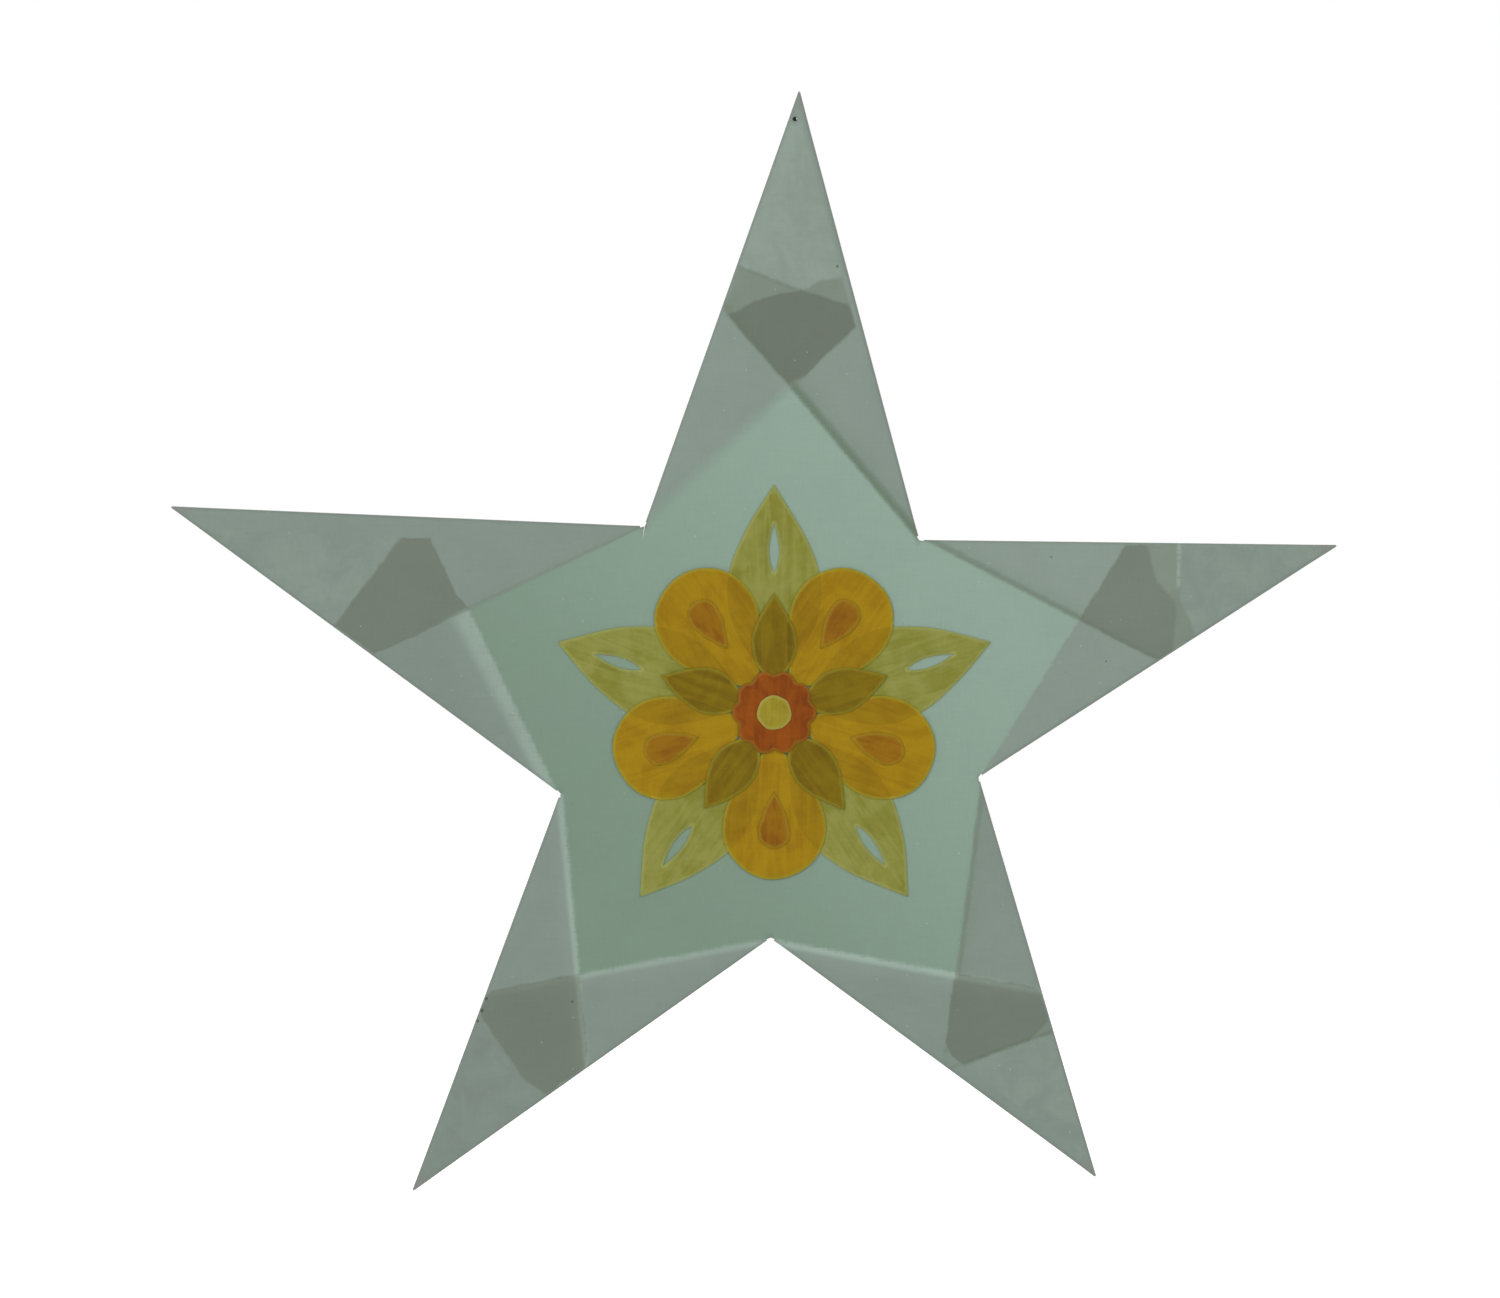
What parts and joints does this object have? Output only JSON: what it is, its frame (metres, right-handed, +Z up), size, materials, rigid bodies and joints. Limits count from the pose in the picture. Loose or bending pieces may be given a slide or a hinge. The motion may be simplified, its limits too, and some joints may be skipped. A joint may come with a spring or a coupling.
{
  "type": "transparent paper window star",
  "caption": "Flat star folded from a pentagon of translucent grey-green paper, with rolled flaps pasted behind its arms and a cut-paper folk rosette on its window.",
  "frame": {"origin": "centre of the thread hole near the top tip, on the front face of the sheet", "axes": "+Z up, as the star hangs; the front with the rosette faces -Y and the folded flaps lie behind, towards +Y; +X is to the right seen from the front"},
  "size_m": [0.2094, 0.0032, 0.1974],
  "materials": {
    "transparent_paper": "thin translucent grey-green paper, matt, folded in up to five layers",
    "dried_paste": "dried paste soaked into the paper, slightly dark and glossy",
    "pale_green_paper": "pale yellow-green transparent paper",
    "amber_paper": "amber transparent paper",
    "olive_paper": "olive-gold transparent paper",
    "orange_paper": "orange transparent paper",
    "red_paper": "red-orange transparent paper",
    "gold_paper": "light gold transparent paper"
  },
  "bodies": {
    "root": {"star_sheet": "transparent_paper", "paste_patch_top": "dried_paste", "paste_patch_right": "dried_paste", "paste_patch_lower_right": "dried_paste", "paste_patch_lower_left": "dried_paste", "paste_patch_left": "dried_paste", "pale_leaf_1": "pale_green_paper", "pale_leaf_2": "pale_green_paper", "pale_leaf_3": "pale_green_paper", "pale_leaf_4": "pale_green_paper", "pale_leaf_5": "pale_green_paper", "amber_petal_1": "amber_paper", "amber_petal_2": "amber_paper", "amber_petal_3": "amber_paper", "amber_petal_4": "amber_paper", "amber_petal_5": "amber_paper", "olive_petal_1": "olive_paper", "olive_petal_2": "olive_paper", "olive_petal_3": "olive_paper", "olive_petal_4": "olive_paper", "olive_petal_5": "olive_paper", "orange_drop_1": "orange_paper", "orange_drop_2": "orange_paper", "orange_drop_3": "orange_paper", "orange_drop_4": "orange_paper", "orange_drop_5": "orange_paper", "red_flower_heart": "red_paper", "gold_button": "gold_paper"}
  },
  "joints": []
}
